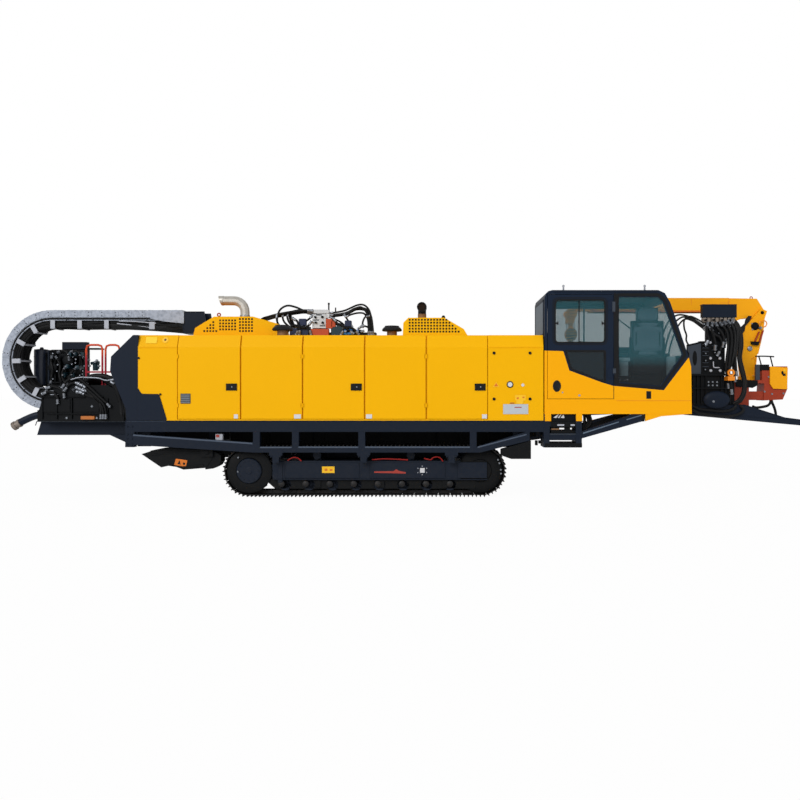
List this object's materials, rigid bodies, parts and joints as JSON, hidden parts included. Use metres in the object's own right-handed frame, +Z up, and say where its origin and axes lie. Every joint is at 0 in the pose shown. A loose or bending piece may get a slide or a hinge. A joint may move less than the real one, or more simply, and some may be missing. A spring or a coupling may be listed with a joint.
{
  "type": "horizontal directional drill",
  "caption": "Tracked horizontal directional drill: long pipe mast with drag chain beside a hooded engine, operator's cab, pipe vises and a folding crane.",
  "frame": {"origin": "on the ground under the middle of the machine's length and width", "axes": "+X is the way it drills, +Y is the mast's side, +Z is up"},
  "size_m": [15, 3.028, 3.63],
  "materials": {
    "yellow_paint": "gloss",
    "navy_paint": "satin",
    "black_paint": "satin",
    "red_paint": "satin",
    "chain_steel": "galvanised",
    "polished_rod": "polished",
    "exhaust_steel": "bare",
    "track_steel": "worn",
    "hose_rubber": "matt",
    "cab_glass": "tinted",
    "seat_cloth": "woven",
    "cap_plastic": "moulded"
  },
  "bodies": {
    "chassis": {"side_frame_near": "navy_paint", "side_frame_far": "navy_paint", "centre_frame": "navy_paint", "track_near": "track_steel", "track_far": "track_steel", "track_frame_near": "navy_paint", "track_frame_far": "navy_paint", "hood_shell": "yellow_paint", "hood_end": "navy_paint", "hump_rear": "yellow_paint", "hump_front": "yellow_paint", "precleaner_rear": "cap_plastic", "precleaner_front": "cap_plastic", "exhaust_rear": "exhaust_steel", "exhaust_front": "black_paint", "engine_block": "black_paint", "pump_block": "black_paint", "manifold": "black_paint", "cab_shell": "yellow_paint", "side_glass": "cab_glass", "far_glass": "cab_glass", "front_glass": "cab_glass", "seat": "seat_cloth", "steps": "navy_paint", "far_walkway": "navy_paint"},
    "mast": {"mast_beam": "navy_paint", "nose_beam": "navy_paint", "carriage": "black_paint", "power_head": "black_paint", "handrail": "red_paint", "mud_pipe": "black_paint", "drag_chain": "chain_steel", "chain_hoses": "hose_rubber", "chain_trough": "navy_paint", "vise_tower": "black_paint", "front_vise": "black_paint", "crane_base": "red_paint"},
    "spindle": {"drive_spindle": "chain_steel"},
    "wrench": {"wrench_ring": "chain_steel"},
    "cab_door": {"cab_door": "navy_paint", "door_glass": "cab_glass", "door_low_glass": "cab_glass"},
    "hood_door_1": {"hood_door_1": "yellow_paint"},
    "hood_door_2": {"hood_door_2": "yellow_paint"},
    "hood_door_3": {"hood_door_3": "yellow_paint"},
    "hood_door_4": {"hood_door_4": "yellow_paint"},
    "hood_door_5": {"hood_door_5": "yellow_paint"},
    "crane_column": {"crane_column": "yellow_paint"},
    "crane_boom": {"crane_boom": "yellow_paint"},
    "crane_extension": {"crane_extension": "yellow_paint"},
    "crane_hook": {"crane_hook": "black_paint"},
    "lift_barrel": {"lift_barrel": "black_paint"},
    "lift_rod": {"lift_rod": "polished_rod"},
    "stabiliser_near": {"stabiliser_near": "black_paint"},
    "stabiliser_far": {"stabiliser_far": "black_paint"},
    "tilt_barrel": {"tilt_barrel": "navy_paint"},
    "tilt_rod": {"tilt_rod": "polished_rod"}
  },
  "joints": [
    {"name": "mast_tilt", "type": "hinge", "parent": "chassis", "child": "mast", "pos_m": [3.6, 0.6, 1.44], "axis": [0, 1, 0], "range_deg": [0, 15]},
    {"name": "spindle_spin", "type": "hinge", "parent": "mast", "child": "spindle", "pos_m": [-5.1997, 0.6, 1.8], "axis": [1, 0, 0], "continuous": true},
    {"name": "wrench_turn", "type": "hinge", "parent": "mast", "child": "wrench", "pos_m": [5.63, 0.6, 1.8], "axis": [1, 0, 0], "range_deg": [-25, 25]},
    {"name": "cab_door_swing", "type": "hinge", "parent": "chassis", "child": "cab_door", "pos_m": [3.561, -1.502, 1.66], "axis": [0, 0, 1], "range_deg": [0, 110]},
    {"name": "hood_door_1_swing", "type": "hinge", "parent": "chassis", "child": "hood_door_1", "pos_m": [-3.74, -1.5, 1.3003], "axis": [0, 0, -1], "range_deg": [0, 88]},
    {"name": "hood_door_2_swing", "type": "hinge", "parent": "chassis", "child": "hood_door_2", "pos_m": [-1.662, -1.5, 1.3003], "axis": [0, 0, 1], "range_deg": [0, 88]},
    {"name": "hood_door_3_swing", "type": "hinge", "parent": "chassis", "child": "hood_door_3", "pos_m": [-1.638, -1.5, 1.3003], "axis": [0, 0, -1], "range_deg": [0, 88]},
    {"name": "hood_door_4_swing", "type": "hinge", "parent": "chassis", "child": "hood_door_4", "pos_m": [0.412, -1.5, 1.3003], "axis": [0, 0, 1], "range_deg": [0, 88]},
    {"name": "hood_door_5_swing", "type": "hinge", "parent": "chassis", "child": "hood_door_5", "pos_m": [0.436, -1.5, 1.3003], "axis": [0, 0, -1], "range_deg": [0, 88]},
    {"name": "crane_slew", "type": "hinge", "parent": "mast", "child": "crane_column", "pos_m": [6.75, 1.1, 2.0003], "axis": [0, 0, -1], "range_deg": [0, 180]},
    {"name": "crane_luff", "type": "hinge", "parent": "crane_column", "child": "crane_boom", "pos_m": [7.02, 1.1, 3.339], "axis": [0, 1, 0], "range_deg": [0, 70]},
    {"name": "crane_extend", "type": "slide", "parent": "crane_boom", "child": "crane_extension", "axis": [-1, 0, 0], "range_m": [0, 1.5]},
    {"name": "hook_swing", "type": "hinge", "parent": "crane_extension", "child": "crane_hook", "pos_m": [3.24, 1.1, 3.2], "axis": [0, 1, 0], "range_deg": [-70, 30]},
    {"name": "lift_barrel_pivot", "type": "hinge", "parent": "crane_column", "child": "lift_barrel", "pos_m": [6.72, 1.1, 2.28], "axis": [0, 1, 0], "range_deg": [0, 13.7]},
    {"name": "lift_rod_slide", "type": "slide", "parent": "lift_barrel", "child": "lift_rod", "axis": [-0.257, 0, 0.9664], "range_m": [0, 0.595]},
    {"name": "stabiliser_near_fold", "type": "hinge", "parent": "chassis", "child": "stabiliser_near", "pos_m": [-3.3, -1.18, 0.76], "axis": [0, -1, 0], "range_deg": [0, 38]},
    {"name": "stabiliser_far_fold", "type": "hinge", "parent": "chassis", "child": "stabiliser_far", "pos_m": [-3.3, 1.18, 0.76], "axis": [0, -1, 0], "range_deg": [0, 38]},
    {"name": "tilt_barrel_pivot", "type": "hinge", "parent": "chassis", "child": "tilt_barrel", "pos_m": [0.5, 0.6, 0.78], "axis": [0, 1, 0], "range_deg": [0, 34.3]},
    {"name": "tilt_rod_slide", "type": "slide", "parent": "tilt_barrel", "child": "tilt_rod", "axis": [-0.9991, 0, 0.0421], "range_m": [0, 0.44]}
  ],
  "couplings": [
    {"joint": "lift_barrel_pivot", "follows": "crane_luff", "ratio": 0.195},
    {"joint": "lift_rod_slide", "follows": "crane_luff", "m_per_rad": 0.485},
    {"joint": "tilt_barrel_pivot", "follows": "mast_tilt", "ratio": 2.2767},
    {"joint": "tilt_rod_slide", "follows": "mast_tilt", "m_per_rad": 1.675}
  ]
}
